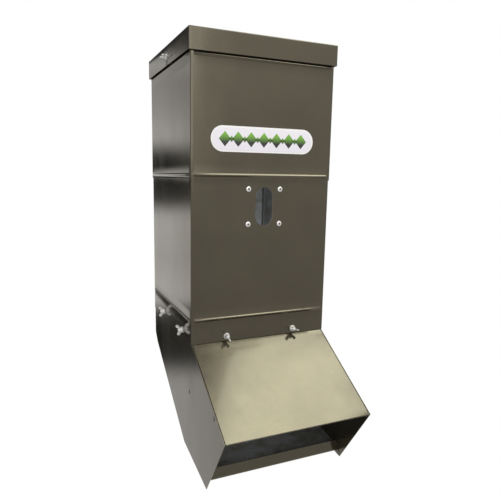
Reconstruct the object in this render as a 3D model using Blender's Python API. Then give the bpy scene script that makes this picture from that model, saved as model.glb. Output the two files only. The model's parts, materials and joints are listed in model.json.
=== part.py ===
"""Gravity game feeder: a square sheet-steel corn hopper that hangs on a tree.

The hopper is two telescoping square sections under a lift-off lid.  A feeder head with a sloping
hood, a ramp and a lipped tray is bolted into the bottom of the hopper, and a slotted gate inside
the front wall sets how far the corn runs out.  Metres, +Z up, the front looks along -Y.  The origin
is the middle of the upper tree bracket's rear face, which lies against the tree.
"""
import math

import bmesh
import bpy
from mathutils import Matrix, Vector

# Sheet and fits
SHEET = 0.001
GAP = 0.0003
BRACKET_SHEET = 0.002

# Hopper, seen from above: the lower section is a 12 inch square
SECTION = 0.305
BRACKET_DEPTH = 0.040
REAR_Y = -BRACKET_DEPTH
FRONT_Y = REAR_Y - SECTION
CENTRE_Y = (REAR_Y + FRONT_Y) / 2
CORNER_RADIUS = 0.002
LOWER_HALF = SECTION / 2
UPPER_HALF = LOWER_HALF + SHEET + GAP
HEAD_HALF = LOWER_HALF - SHEET - GAP
LID_CLEARANCE = 0.0036
LID_HALF = UPPER_HALF + LID_CLEARANCE + SHEET

# Heights, from the lid's top down
LID_TOP = 0.150
LID_SKIRT = 0.0405
UPPER_TOP = LID_TOP - SHEET - GAP
TOP_BEAD = LID_TOP - 0.045
MID_BEAD = LID_TOP - 0.2635
UPPER_BOTTOM = MID_BEAD - 0.008
LOWER_TOP = MID_BEAD + 0.014
LOW_BEAD = LID_TOP - 0.5495
LOWER_BOTTOM = LID_TOP - 0.5985
COLLAR_TOP = LOWER_BOTTOM + 0.0425

# Rolled beads stop short of the corners
BEAD_HALF_HEIGHT = 0.0042
BEAD_PROUD = 0.0025
BEAD_STOP = 0.005
BEAD_FADE = 0.004
BEAD_STEPS = 4

# Feeder head, as points (y, z) of its side panels
HOOD_REACH = 0.1825
HOOD_DROP = 0.116
HOOD_TIP = (FRONT_Y - HOOD_REACH, LOWER_BOTTOM - HOOD_DROP)
HEEL = (REAR_Y - 0.0198, LOWER_BOTTOM - 0.0852)
BELLY = (FRONT_Y + 0.0531, LOWER_BOTTOM - 0.2356)
TOE = (FRONT_Y - 0.0916, LOWER_BOTTOM - 0.2563)
HEEL_TOP = LOWER_BOTTOM - 0.064
HEM = 0.008
HEM_OPENING = 0.0024
HEM_FOLD = SHEET + 0.0001
HOOD_BEND = 0.002
CROSS_HALF = HEAD_HALF - SHEET - GAP

# Tray: ramp, floor and upright lip, set in from the side panels' lower edges
RAMP_INSET = 0.006
FLOOR_INSET = 0.003
LIP_Y = FRONT_Y - 0.0785
LIP_TOP = LOWER_BOTTOM - 0.2245
LIP_TAB = 0.010
TRAY_BEND = 0.004
TRAY_LAP = 0.028
TRAY_FLANGE = 0.016

# Flow gate
GATE_HALF = CROSS_HALF - SHEET - 0.0014
GATE_TOP = LOWER_BOTTOM + 0.0265
GATE_BOTTOM = LOWER_BOTTOM - 0.1365
GATE_GRIP = 0.012
GATE_TRAVEL = 0.050

# Fasteners: No. 10 bolts with wing nuts
BOLT_RADIUS = 0.0024
BOLT_HOLE = 0.0028
BOLT_HEAD_RADIUS = 0.0055
BOLT_HEAD_HEIGHT = 0.0026
BOLT_REACH = 0.0105
WASHER_RADIUS = 0.0065
WASHER_THICKNESS = 0.0012
NUT_HUB_RADIUS = 0.005
NUT_HUB_HEIGHT = 0.0075
NUT_BORE = BOLT_RADIUS + GAP
WING_REACH = 0.012
WING_LOBE = 0.0034
WING_TOP = 0.012
WING_THICKNESS = 0.0022
ROUND_STEPS = 12
RIVET_STEPS = 8

# Turn of each wing nut about its bolt, in degrees
FRONT_NUT_SPIN = {"left": -59.0, "right": -10.0}
SIDE_NUT_SPIN = {"front": -43.0, "rear": -75.0}
LID_NUT_SPIN = 0.0

FRONT_BOLT_X = 0.0765
FRONT_BOLT_Z = LOWER_BOTTOM + 0.0105
SIDE_BOLT_YS = (FRONT_Y + 0.057, FRONT_Y + 0.205)
SIDE_BOLT_Z = LOWER_BOTTOM + 0.0155
LID_STUD_Y = FRONT_Y + 0.144
LID_STUD_Z = LID_TOP - 0.0235

# Window in the lower section's front
WINDOW_X = 0.002
WINDOW_Z = LID_TOP - 0.325
SLOT_WIDTH = 0.038
SLOT_HEIGHT = 0.077
PANE_WIDTH = 0.086
PANE_HEIGHT = 0.096
PANE_THICKNESS = 0.002
WINDOW_RIVET_X = 0.035
WINDOW_RIVET_Z = 0.035

# Label on the upper section's front
LABEL_X = -0.0025
LABEL_Z = LID_TOP - 0.1945
LABEL_WIDTH = 0.223
LABEL_HEIGHT = 0.049
LABEL_THICKNESS = 0.0008

# Tree brackets: hat channels that stand upright, slotted for a strap
BRACKET_ZS = (0.0, LID_TOP - 0.410)
BRACKET_HEIGHT = 0.110
BRACKET_WEB_HALF = 0.045
BRACKET_FLANGE_HALF = 0.075
BRACKET_BEND = 0.004
STRAP_SLOT_HEIGHT = 0.054
STRAP_SLOT_DEPTH = 0.008
STRAP_SLOT_Y = -0.016
LAG_HOLE_RADIUS = 0.004
LAG_HOLE_Z = 0.038
BRACKET_RIVET_X = 0.061
BRACKET_RIVET_Z = 0.038

# Blind rivets
RIVET_RADIUS = 0.002
RIVET_HOLE = 0.0023
RIVET_HEAD_RADIUS = 0.0054
RIVET_HEAD_HEIGHT = 0.0016
RIVET_BULB_RADIUS = 0.0032
RIVET_BULB_HEIGHT = 0.0026
SIDE_HOLE = (FRONT_Y + 0.0152, LOWER_BOTTOM - 0.105)
HOOD_HOLE = (FRONT_Y - 0.131, LOWER_BOTTOM - 0.093)
SMALL_HOLE_RADIUS = 0.0022


def clear_scene():
    for item in list(bpy.data.objects):
        bpy.data.objects.remove(item, do_unlink=True)


def make_material(name, color, roughness, metallic):
    material = bpy.data.materials.new(name)
    material.use_nodes = True
    shader = material.node_tree.nodes["Principled BSDF"]
    shader.inputs["Base Color"].default_value = (*color, 1.0)
    shader.inputs["Roughness"].default_value = roughness
    shader.inputs["Metallic"].default_value = metallic
    return material


def object_from(name, shape, material):
    """A new object from a bmesh whose faces are turned to point outward."""
    bmesh.ops.recalc_face_normals(shape, faces=shape.faces)
    mesh = bpy.data.meshes.new(name)
    shape.to_mesh(mesh)
    shape.free()
    mesh.materials.append(material)
    item = bpy.data.objects.new(name, mesh)
    bpy.context.collection.objects.link(item)
    return item


def shade_round(item, angle=math.radians(35)):
    item.data.shade_smooth()
    item.data.set_sharp_from_angle(angle=angle)


def combine(item, tool, operation):
    """Join the tool to the item, or cut it out, and keep only the result."""
    modifier = item.modifiers.new(operation.lower(), "BOOLEAN")
    modifier.operation = operation
    modifier.object = tool
    depsgraph = bpy.context.evaluated_depsgraph_get()
    result = bpy.data.meshes.new_from_object(item.evaluated_get(depsgraph))
    item.modifiers.clear()
    item.data = result
    bpy.data.objects.remove(tool, do_unlink=True)


# ---- outlines ---------------------------------------------------------------------------------

def arc(centre, radius, start, end, steps):
    """Points on an arc, with its angles in degrees."""
    angles = [math.radians(start + (end - start) * step / steps) for step in range(steps + 1)]
    return [(centre[0] + radius * math.cos(a), centre[1] + radius * math.sin(a)) for a in angles]


def rounded_path(points, radius, steps=3):
    """An open path with each inner corner replaced by an arc of the given radius."""
    path = [points[0]]
    for before, corner, after in zip(points, points[1:], points[2:]):
        corner = Vector(corner)
        inward = (Vector(before) - corner).normalized()
        outward = (Vector(after) - corner).normalized()
        half_angle = inward.angle(outward) / 2
        centre = corner + (inward + outward).normalized() * radius / math.sin(half_angle)
        start = corner + inward * radius / math.tan(half_angle) - centre
        end = corner + outward * radius / math.tan(half_angle) - centre
        for step in range(steps + 1):
            direction = start.lerp(end, step / steps).normalized()
            path.append(tuple(centre + direction * radius))
    path.append(points[-1])
    return path


def thickened(path, thickness):
    """A closed outline: the path, and the same path moved to its left by the thickness."""
    moved = []
    for index, point in enumerate(path):
        point = Vector(point)
        before = point - Vector(path[index - 1]) if index else None
        after = Vector(path[index + 1]) - point if index + 1 < len(path) else None
        before = (before or after).normalized()
        after = (after or before).normalized()
        normal = Vector((-(before + after).y, (before + after).x)).normalized()
        scale = thickness / normal.dot(Vector((-before.y, before.x)))
        moved.append(tuple(point + normal * scale))
    return list(path) + moved[::-1]


def stadium(width, height, steps=10):
    """An upright rounded slot about the origin."""
    radius = width / 2
    rise = height / 2 - radius
    return arc((0, rise), radius, 0, 180, steps) + arc((0, -rise), radius, 180, 360, steps)


def bell_offsets():
    """Heights and outward pushes of a rolled bead's cross-section."""
    for step in range(-BEAD_STEPS // 2, BEAD_STEPS // 2 + 1):
        share = step / (BEAD_STEPS / 2)
        yield share * BEAD_HALF_HEIGHT, BEAD_PROUD * (1 + math.cos(math.pi * share)) / 2


# ---- solids -----------------------------------------------------------------------------------

def prism(name, outline, low, high, axis, material):
    """An outline extruded along X from (y, z) points, along Y from (x, z), or along Z from (x, y)."""
    place = {"X": lambda a, b, c: (c, a, b), "Y": lambda a, b, c: (a, c, b),
             "Z": lambda a, b, c: (a, b, c)}[axis]
    shape = bmesh.new()
    ends = [[shape.verts.new(place(a, b, level)) for a, b in outline] for level in (low, high)]
    shape.faces.new(ends[0])
    shape.faces.new(ends[1])
    for index in range(len(outline)):
        following = (index + 1) % len(outline)
        shape.faces.new((ends[0][index], ends[0][following], ends[1][following], ends[1][index]))
    return object_from(name, shape, material)


def loft(name, rings, closed, material):
    """Rings of equal length joined in turn, then joined back to the first or capped at both ends."""
    shape = bmesh.new()
    loops = [[shape.verts.new(point) for point in ring] for ring in rings]
    pairs = list(zip(loops, loops[1:]))
    if closed:
        pairs.append((loops[-1], loops[0]))
    else:
        shape.faces.new(loops[0])
        shape.faces.new(loops[-1])
    for one, two in pairs:
        for index in range(len(one)):
            following = (index + 1) % len(one)
            shape.faces.new((one[index], one[following], two[following], two[index]))
    # The shorter diagonal splits the twisted ends of nested beads the same way on both sheets
    bmesh.ops.triangulate(shape, faces=shape.faces, quad_method="SHORT_EDGE")
    return object_from(name, shape, material)


def turned(name, profile, bore, material, steps=ROUND_STEPS):
    """A profile of (radius, height) points turned about local Z, solid or around a bore."""
    rings = []
    for radius, height in profile:
        angles = [2 * math.pi * step / steps for step in range(steps)]
        rings.append([(radius * math.cos(a), radius * math.sin(a), height) for a in angles])
    return loft(name, rings, bore, material)


def point_along(item, position, direction, spin=0.0):
    """Stand an object at a position with its local Z along a direction, turned by spin degrees."""
    aim = Vector(direction).to_track_quat("Z", "Y").to_matrix().to_4x4()
    item.matrix_world = Matrix.Translation(position) @ aim @ Matrix.Rotation(math.radians(spin), 4, "Z")


def drill(item, position, direction, radius, depth):
    """A round hole from a position along a direction, cut a little past both ends."""
    over = 0.001
    tool = turned("drill", [(radius, -over), (radius, depth + over)], False, item.data.materials[0], 12)
    point_along(tool, position, direction)
    combine(item, tool, "DIFFERENCE")


def square_ring(half, radius, push, z):
    """One level of a square tube, with the middle of each side pushed outward by a bead."""
    side = [(-(half - BEAD_STOP), 0), (-(half - BEAD_STOP - BEAD_FADE), push),
            (half - BEAD_STOP - BEAD_FADE, push), (half - BEAD_STOP, 0)]
    corner = arc((half - radius, -(half - radius)), radius, -90, 0, 2)
    quarter = [(along, -half - out) for along, out in side] + corner
    ring = []
    for turn in range(4):
        spin = Matrix.Rotation(turn * math.pi / 2, 2)
        ring += [spin @ Vector(point) for point in quarter]
    return [(point.x, point.y + CENTRE_Y, z) for point in ring]


def hopper_section(name, half, bottom, top, beads, material):
    """A square tube of sheet with rolled beads round all four sides."""
    levels = [(bottom, 0.0)]
    for bead in beads:
        levels += [(bead + rise, push) for rise, push in bell_offsets()]
    levels.append((top, 0.0))
    outer = [square_ring(half, CORNER_RADIUS, push, z) for z, push in levels]
    inner = [square_ring(half - SHEET, CORNER_RADIUS - SHEET, push, z) for z, push in levels]
    return loft(name, outer + inner[::-1], True, material)


# ---- hopper -----------------------------------------------------------------------------------

def make_lid(material):
    """A flat cap with a skirt, slotted from below where it drops over the two studs."""
    edge = 0.0015
    skirt_bottom = LID_TOP - LID_SKIRT
    rings = [square_ring(LID_HALF - edge, CORNER_RADIUS, 0, LID_TOP),
             square_ring(LID_HALF, CORNER_RADIUS, 0, LID_TOP - edge),
             square_ring(LID_HALF, CORNER_RADIUS, 0, skirt_bottom),
             square_ring(LID_HALF - SHEET, CORNER_RADIUS - SHEET, 0, skirt_bottom),
             square_ring(LID_HALF - SHEET, CORNER_RADIUS - SHEET, 0, LID_TOP - SHEET)]
    lid = loft("lid", rings, False, material)
    rise = LID_STUD_Z - skirt_bottom
    for side in (-1, 1):
        slot = [(LID_STUD_Y + a, LID_STUD_Z + b) for a, b in arc((0, 0), BOLT_HOLE, 0, 180, 6)]
        slot += [(LID_STUD_Y - BOLT_HOLE, LID_STUD_Z - rise - SHEET)]
        slot += [(LID_STUD_Y + BOLT_HOLE, LID_STUD_Z - rise - SHEET)]
        ends = sorted((side * (LID_HALF - 0.003), side * (LID_HALF + 0.003)))
        combine(lid, prism("slot", slot, *ends, "X", material), "DIFFERENCE")
    shade_round(lid)


def make_upper_section(material):
    section = hopper_section("upper_hopper_section", UPPER_HALF, UPPER_BOTTOM, UPPER_TOP,
                             (MID_BEAD, TOP_BEAD), material)
    inside = UPPER_HALF - SHEET
    for side in (-1, 1):
        drill(section, (side * inside, LID_STUD_Y, LID_STUD_Z), (side, 0, 0), BOLT_HOLE, SHEET)
    drill_bracket_holes(section, BRACKET_ZS[0], CENTRE_Y + inside, SHEET)
    shade_round(section)


def make_lower_section(material):
    section = hopper_section("lower_hopper_section", LOWER_HALF, LOWER_BOTTOM, LOWER_TOP,
                             (LOW_BEAD, MID_BEAD), material)
    inside = LOWER_HALF - SHEET
    window = [(WINDOW_X + a, WINDOW_Z + b) for a, b in stadium(SLOT_WIDTH, SLOT_HEIGHT)]
    front = (FRONT_Y - SHEET, FRONT_Y + 2 * SHEET)
    combine(section, prism("window", window, *front, "Y", material), "DIFFERENCE")
    for x, z in window_rivet_places():
        drill(section, (x, FRONT_Y + SHEET, z), (0, -1, 0), RIVET_HOLE, SHEET)
    for side in (-1, 1):
        drill(section, (side * FRONT_BOLT_X, FRONT_Y + SHEET, FRONT_BOLT_Z), (0, -1, 0), BOLT_HOLE, SHEET)
        for y in SIDE_BOLT_YS:
            drill(section, (side * inside, y, SIDE_BOLT_Z), (side, 0, 0), BOLT_HOLE, SHEET)
    drill_bracket_holes(section, BRACKET_ZS[1], CENTRE_Y + inside, SHEET)
    shade_round(section)


def window_rivet_places():
    return [(WINDOW_X + a * WINDOW_RIVET_X, WINDOW_Z + b * WINDOW_RIVET_Z)
            for b in (1, -1) for a in (-1, 1)]


def make_window_pane(material):
    """A clear plate behind the slot, held by four rivets."""
    low_y = FRONT_Y + SHEET + GAP
    corner = 0.006
    width = PANE_WIDTH / 2 - corner
    height = PANE_HEIGHT / 2 - corner
    outline = []
    for turn, (a, b) in enumerate(((1, 1), (-1, 1), (-1, -1), (1, -1))):
        centre = (WINDOW_X + a * width, WINDOW_Z + b * height)
        outline += arc(centre, corner, 90 * turn, 90 * turn + 90, 3)
    pane = prism("window_pane", outline, low_y, low_y + PANE_THICKNESS, "Y", material)
    for x, z in window_rivet_places():
        drill(pane, (x, low_y, z), (0, 1, 0), RIVET_HOLE, PANE_THICKNESS)


def make_label(material):
    """A capsule-shaped plate on the upper section's front."""
    back_y = CENTRE_Y - UPPER_HALF - GAP
    outline = [(LABEL_X + b, LABEL_Z - a) for a, b in stadium(LABEL_HEIGHT, LABEL_WIDTH, 12)]
    prism("label_plate", outline, back_y - LABEL_THICKNESS, back_y, "Y", material)


# ---- feeder head ------------------------------------------------------------------------------

def make_side_panel(name, side, material):
    """One cheek of the head: collar, hood edge, open mouth edge and belly."""
    shoulder = LOWER_BOTTOM - GAP
    front = FRONT_Y + SHEET + GAP
    rear = REAR_Y - SHEET - GAP
    collar_front = FRONT_Y + CORNER_RADIUS
    collar_rear = REAR_Y - CORNER_RADIUS
    outline = [(collar_front, COLLAR_TOP), (collar_rear, COLLAR_TOP), (collar_rear, shoulder),
               (rear, shoulder), (rear, HEEL_TOP), HEEL, BELLY, TOE, HOOD_TIP, (front, shoulder),
               (collar_front, shoulder)]
    faces = sorted((side * HEAD_HALF, side * (HEAD_HALF - SHEET)))
    panel = prism(name, outline, *faces, "X", material)
    inside = side * (HEAD_HALF - SHEET)
    outward = (side, 0, 0)
    for y in SIDE_BOLT_YS:
        drill(panel, (inside, y, SIDE_BOLT_Z), outward, BOLT_HOLE, SHEET)
    for y, z in (SIDE_HOLE, HOOD_HOLE):
        drill(panel, (inside, y, z), outward, SMALL_HOLE_RADIUS, SHEET)


def hood_point(distance, depth):
    """A point on the hood, by its distance down the slope and its depth under the outer face."""
    start = Vector((FRONT_Y + SHEET + GAP, LOWER_BOTTOM - GAP))
    slope = (Vector(HOOD_TIP) - start).normalized()
    under = Vector((-slope.y, slope.x))
    return tuple(start + slope * distance + under * depth)


def hood_length():
    start = Vector((FRONT_Y + SHEET + GAP, LOWER_BOTTOM - GAP))
    return (Vector(HOOD_TIP) - start).length


def make_hood(material):
    """A collar flange behind the hopper's front, a sloping roof and a folded lower hem."""
    collar_y = FRONT_Y + SHEET + GAP
    end = hood_length()
    hem = [hood_point(end, 0), hood_point(end, HEM_OPENING), hood_point(end - HEM, HEM_OPENING)]
    roof = rounded_path([(collar_y, COLLAR_TOP), (collar_y, LOWER_BOTTOM - GAP), hood_point(end, 0)],
                        HOOD_BEND)
    fold = rounded_path([roof[-2]] + hem, HEM_FOLD)[1:]
    hood = prism("hood", thickened(roof[:-1] + fold, SHEET), -CROSS_HALF, CROSS_HALF, "X", material)
    for side in (-1, 1):
        drill(hood, (side * FRONT_BOLT_X, collar_y, FRONT_BOLT_Z), (0, 1, 0), BOLT_HOLE, SHEET)
    shade_round(hood)


def make_back_panel(material):
    """The head's upright rear wall, between the side panels."""
    outer = REAR_Y - SHEET - GAP
    outline = [(outer, HEEL_TOP), (outer, COLLAR_TOP), (outer - SHEET, COLLAR_TOP),
               (outer - SHEET, HEEL_TOP)]
    prism("head_back_panel", outline, -CROSS_HALF, CROSS_HALF, "X", material)


def floor_height(y):
    """Height of the tray floor's underside, a little above the side panels' lower edge."""
    fall = (TOE[1] - BELLY[1]) / (TOE[0] - BELLY[0])
    return BELLY[1] + FLOOR_INSET + fall * (y - BELLY[0])


def tray_path():
    """The tray's underside from its rear lap down the ramp, along the floor and up the lip."""
    lap_y = REAR_Y - 2 * (SHEET + GAP)
    slope = (Vector(BELLY) - Vector(HEEL)).normalized()
    heel = Vector(HEEL) + Vector((slope.y, -slope.x)) * RAMP_INSET
    ramp_top = heel + slope * (lap_y - heel.x) / slope.x
    fall = floor_height(1.0) - floor_height(0.0)
    foot = heel + slope * (floor_height(heel.x) - heel.y) / (slope.y - fall * slope.x)
    return [(lap_y, ramp_top.y + TRAY_LAP), tuple(ramp_top), tuple(foot),
            (LIP_Y, floor_height(LIP_Y)), (LIP_Y, LIP_TOP)]


def make_feed_tray(material):
    """Ramp, floor and lip bent from one sheet, with flanges that are welded to the side panels."""
    path = tray_path()
    profile = thickened(rounded_path(path, TRAY_BEND), -SHEET)
    tray = prism("feed_tray", profile, -CROSS_HALF, CROSS_HALF, "X", material)
    front = LIP_Y + TRAY_BEND + 2 * SHEET
    back = path[2][0] - 2 * TRAY_BEND
    lift = SHEET / 2
    flange = [(front, floor_height(front) + lift), (back, floor_height(back) + lift),
              (back, floor_height(back) + TRAY_FLANGE), (front, floor_height(front) + TRAY_FLANGE)]
    low = path[3][1] + TRAY_BEND + SHEET
    tab = [(LIP_Y + lift, low), (LIP_Y - LIP_TAB, low), (LIP_Y - LIP_TAB, LIP_TOP - SHEET),
           (LIP_Y + lift, LIP_TOP - SHEET)]
    for side in (-1, 1):
        faces = sorted((side * CROSS_HALF, side * (CROSS_HALF - SHEET)))
        for outline in (flange, tab):
            combine(tray, prism("flange", outline, *faces, "X", material), "UNION")
    shade_round(tray)


def make_flow_gate(material):
    """A slotted plate behind the collar, with a grip bent forward along its lower edge."""
    front_y = FRONT_Y + 2 * (SHEET + GAP)
    path = [(front_y - GATE_GRIP, GATE_BOTTOM), (front_y, GATE_BOTTOM), (front_y, GATE_TOP)]
    profile = thickened(rounded_path(path, TRAY_BEND / 2), -SHEET)
    gate = prism("flow_gate", profile, -GATE_HALF, GATE_HALF, "X", material)
    width = 2 * BOLT_HOLE
    for side in (-1, 1):
        centre_z = FRONT_BOLT_Z - GATE_TRAVEL / 2
        slot = [(side * FRONT_BOLT_X + a, centre_z + b)
                for a, b in stadium(width, GATE_TRAVEL + width, 6)]
        cutter = prism("slot", slot, front_y - SHEET, front_y + 2 * SHEET, "Y", material)
        combine(gate, cutter, "DIFFERENCE")
    shade_round(gate)


# ---- tree brackets ----------------------------------------------------------------------------

def drill_bracket_holes(item, centre_z, start_y, depth):
    for a in (-1, 1):
        for b in (-1, 1):
            place = (a * BRACKET_RIVET_X, start_y, centre_z + b * BRACKET_RIVET_Z)
            drill(item, place, (0, 1, 0), RIVET_HOLE, depth)


def make_bracket(name, centre_z, hopper_rear, material):
    """A hat channel whose web lies flat against the tree."""
    foot = hopper_rear + GAP
    path = [(-BRACKET_FLANGE_HALF, foot), (-BRACKET_WEB_HALF, foot), (-BRACKET_WEB_HALF, -BRACKET_SHEET),
            (BRACKET_WEB_HALF, -BRACKET_SHEET), (BRACKET_WEB_HALF, foot), (BRACKET_FLANGE_HALF, foot)]
    profile = thickened(rounded_path(path, BRACKET_BEND), BRACKET_SHEET)
    half = BRACKET_HEIGHT / 2
    bracket = prism(name, profile, centre_z - half, centre_z + half, "Z", material)
    slot = [(STRAP_SLOT_Y + a * STRAP_SLOT_DEPTH / 2, centre_z + b * STRAP_SLOT_HEIGHT / 2)
            for a, b in ((-1, -1), (1, -1), (1, 1), (-1, 1))]
    reach = BRACKET_WEB_HALF + 2 * BRACKET_SHEET
    combine(bracket, prism("slot", slot, -reach, reach, "X", material), "DIFFERENCE")
    for side in (-1, 1):
        place = (0, -BRACKET_SHEET, centre_z + side * LAG_HOLE_Z)
        drill(bracket, place, (0, 1, 0), LAG_HOLE_RADIUS, BRACKET_SHEET)
    drill_bracket_holes(bracket, centre_z, foot, BRACKET_SHEET)
    shade_round(bracket)


# ---- fasteners --------------------------------------------------------------------------------

def rivet_mesh(grip, material):
    """A blind rivet with its head's underside at local zero and its bulb below the grip."""
    top = RIVET_HEAD_HEIGHT
    bottom = -grip - GAP
    profile = [(RIVET_HEAD_RADIUS * 0.6, top), (RIVET_HEAD_RADIUS, top * 0.35), (RIVET_HEAD_RADIUS, 0),
               (RIVET_RADIUS, 0), (RIVET_RADIUS, bottom), (RIVET_BULB_RADIUS, bottom),
               (RIVET_BULB_RADIUS * 0.8, bottom - RIVET_BULB_HEIGHT)]
    return profile_mesh("rivet", profile, False, material, RIVET_STEPS)


def profile_mesh(name, profile, bore, material, steps=ROUND_STEPS):
    """The mesh of a turned piece, to be shared by its copies."""
    item = turned(name, profile, bore, material, steps)
    shade_round(item)
    mesh = item.data
    bpy.data.objects.remove(item, do_unlink=True)
    return mesh


def bolt_mesh(grip, material):
    """A pan-head bolt: head behind local zero, shank along +Z through the grip and the nut."""
    end = grip + BOLT_REACH
    head = BOLT_HEAD_HEIGHT
    profile = [(BOLT_HEAD_RADIUS * 0.7, -head), (BOLT_HEAD_RADIUS, -head * 0.55), (BOLT_HEAD_RADIUS, 0),
               (BOLT_RADIUS, 0), (BOLT_RADIUS, end - 0.0006), (BOLT_RADIUS - 0.0006, end)]
    return profile_mesh("bolt", profile, False, material)


def washer_mesh(material):
    profile = [(WASHER_RADIUS, 0), (WASHER_RADIUS, WASHER_THICKNESS), (BOLT_HOLE, WASHER_THICKNESS),
               (BOLT_HOLE, 0)]
    return profile_mesh("washer", profile, True, material)


def wing_outline():
    """The pair of wings seen face on, with rounded lobes at the tips."""
    lobe = (WING_REACH - WING_LOBE, WING_TOP - WING_LOBE)
    half = [(NUT_HUB_RADIUS * 0.9, 0.0012)] + arc(lobe, WING_LOBE, -50, 140, 6)
    half.append((NUT_HUB_RADIUS * 0.72, NUT_HUB_HEIGHT * 0.84))
    return half + [(-x, z) for x, z in half[::-1]]


def wing_nut_mesh(material):
    """A tapered hub with two wings, standing on local zero with its bore along +Z."""
    taper = 0.8
    nut = turned("nut", [(NUT_HUB_RADIUS, 0), (NUT_HUB_RADIUS * taper, NUT_HUB_HEIGHT)], False, material)
    thick = WING_THICKNESS / 2
    combine(nut, prism("wings", wing_outline(), -thick, thick, "Y", material), "UNION")
    drill(nut, (0, 0, 0), (0, 0, 1), NUT_BORE, WING_TOP)
    shade_round(nut)
    mesh = nut.data
    bpy.data.objects.remove(nut, do_unlink=True)
    return mesh


def place_mesh(name, mesh, position, direction, spin=0.0):
    item = bpy.data.objects.new(name, mesh)
    bpy.context.collection.objects.link(item)
    point_along(item, position, direction, spin)


def make_wing_fastening(name, seat, direction, grip, spin, meshes):
    """Bolt, washer and wing nut through a wall whose outer face is at the seat."""
    seat = Vector(seat)
    outward = Vector(direction)
    washer_at = seat + outward * GAP
    nut_at = washer_at + outward * (WASHER_THICKNESS + GAP)
    place_mesh(name + "_bolt", meshes[grip], seat - outward * grip, direction)
    place_mesh(name + "_washer", meshes["washer"], washer_at, direction)
    place_mesh(name + "_wing_nut", meshes["wing_nut"], nut_at, direction, spin)


def make_wing_fastenings(zinc):
    """Two fastenings in front that clamp the gate, four at the sides and two on the lid."""
    side_grip = 2 * (SHEET + GAP)
    front_grip = 3 * (SHEET + GAP)
    lid_grip = LID_HALF - UPPER_HALF + SHEET + GAP
    grips = (side_grip, front_grip, lid_grip)
    meshes = {grip: bolt_mesh(grip, zinc) for grip in grips}
    meshes["washer"] = washer_mesh(zinc)
    meshes["wing_nut"] = wing_nut_mesh(zinc)
    for word, side in (("left", -1), ("right", 1)):
        seat = (side * FRONT_BOLT_X, FRONT_Y, FRONT_BOLT_Z)
        make_wing_fastening(f"gate_{word}", seat, (0, -1, 0), front_grip, FRONT_NUT_SPIN[word], meshes)
        for place, y in zip(("front", "rear"), SIDE_BOLT_YS):
            seat = (side * LOWER_HALF, y, SIDE_BOLT_Z)
            spin = SIDE_NUT_SPIN[place] * -side
            make_wing_fastening(f"head_{word}_{place}", seat, (side, 0, 0), side_grip, spin, meshes)
        seat = (side * LID_HALF, LID_STUD_Y, LID_STUD_Z)
        make_wing_fastening(f"lid_{word}", seat, (side, 0, 0), lid_grip, LID_NUT_SPIN, meshes)


def make_rivets(zinc):
    """Four rivets for the window and four for each bracket."""
    window = rivet_mesh(SHEET + GAP + PANE_THICKNESS, zinc)
    for index, (x, z) in enumerate(window_rivet_places(), start=1):
        place_mesh(f"window_rivet_{index}", window, (x, FRONT_Y - GAP, z), (0, -1, 0))
    bracket = rivet_mesh(BRACKET_SHEET + 2 * GAP + SHEET, zinc)
    for word, centre_z, rear in (("upper", BRACKET_ZS[0], CENTRE_Y + UPPER_HALF),
                                 ("lower", BRACKET_ZS[1], REAR_Y)):
        places = [(a, b) for b in (1, -1) for a in (-1, 1)]
        for index, (a, b) in enumerate(places, start=1):
            place = (a * BRACKET_RIVET_X, rear + BRACKET_SHEET + 2 * GAP,
                     centre_z + b * BRACKET_RIVET_Z)
            place_mesh(f"{word}_bracket_rivet_{index}", bracket, place, (0, 1, 0))


def main():
    clear_scene()
    paint = make_material("bronze_paint", (0.085, 0.078, 0.052), 0.38, 0.55)
    paint_inside = make_material("bronze_paint_inside", (0.055, 0.052, 0.040), 0.45, 0.45)
    bracket_paint = make_material("bracket_paint", (0.070, 0.066, 0.048), 0.45, 0.40)
    zinc = make_material("zinc", (0.78, 0.78, 0.76), 0.25, 1.0)
    clear = make_material("clear_pane", (0.80, 0.84, 0.86), 0.08, 0.0)
    white = make_material("label_white", (0.86, 0.85, 0.90), 0.35, 0.0)

    make_lid(paint)
    make_upper_section(paint)
    make_lower_section(paint)
    make_window_pane(clear)
    make_label(white)
    for word, side in (("left", -1), ("right", 1)):
        make_side_panel(f"head_{word}_panel", side, paint)
    make_hood(paint)
    make_back_panel(paint)
    make_feed_tray(paint)
    make_flow_gate(paint_inside)
    make_bracket("upper_tree_bracket", BRACKET_ZS[0], CENTRE_Y + UPPER_HALF, bracket_paint)
    make_bracket("lower_tree_bracket", BRACKET_ZS[1], REAR_Y, bracket_paint)
    make_wing_fastenings(zinc)
    make_rivets(zinc)


main()
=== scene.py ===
"""Finish of the gravity game feeder: fine sheet shells, hardware, paint, zinc, label and light."""
import json
import math

import bmesh
import bpy
from mathutils import Matrix, Vector, noise


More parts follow.
